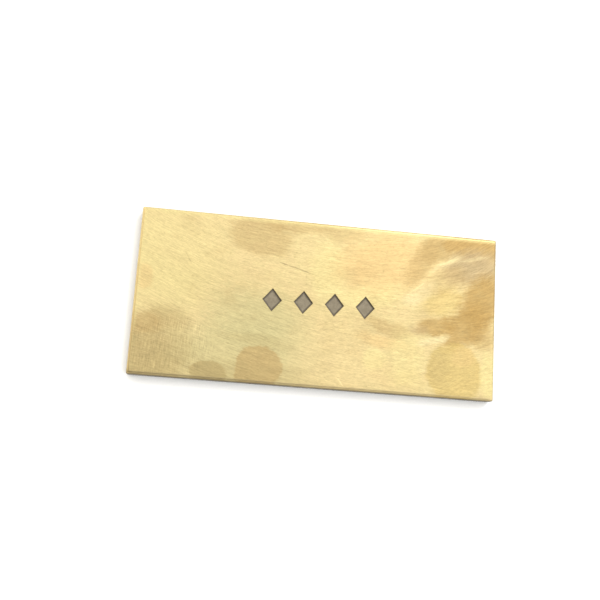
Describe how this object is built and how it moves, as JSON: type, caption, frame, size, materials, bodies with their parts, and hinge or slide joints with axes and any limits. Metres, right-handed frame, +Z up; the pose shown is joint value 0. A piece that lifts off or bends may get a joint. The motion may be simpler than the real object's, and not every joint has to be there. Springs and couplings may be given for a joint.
{
  "type": "paperweight",
  "caption": "Flat rectangular brass paperweight with softly rolled edges, a row of sunk enamelled dots and a thin felt pad underneath.",
  "frame": {"origin": "middle of the underside of the felt pad, on the surface that the paperweight rests on", "axes": "+X along the plate's length, +Y across it away from the user, +Z up out of the engraved face"},
  "size_m": [0.1, 0.046, 0.0041],
  "materials": {
    "brass": "satin, worn, with fine scratches and tarnish",
    "enamel": "dull enamel",
    "adhesive": "clear tacky film, yellowed",
    "felt": "pressed wool felt"
  },
  "bodies": {
    "root": {"brass_plate": "brass", "enamel_dot_1": "enamel", "enamel_dot_2": "enamel", "enamel_dot_3": "enamel", "enamel_dot_4": "enamel", "adhesive_film": "adhesive", "felt_pad": "felt"}
  },
  "joints": []
}
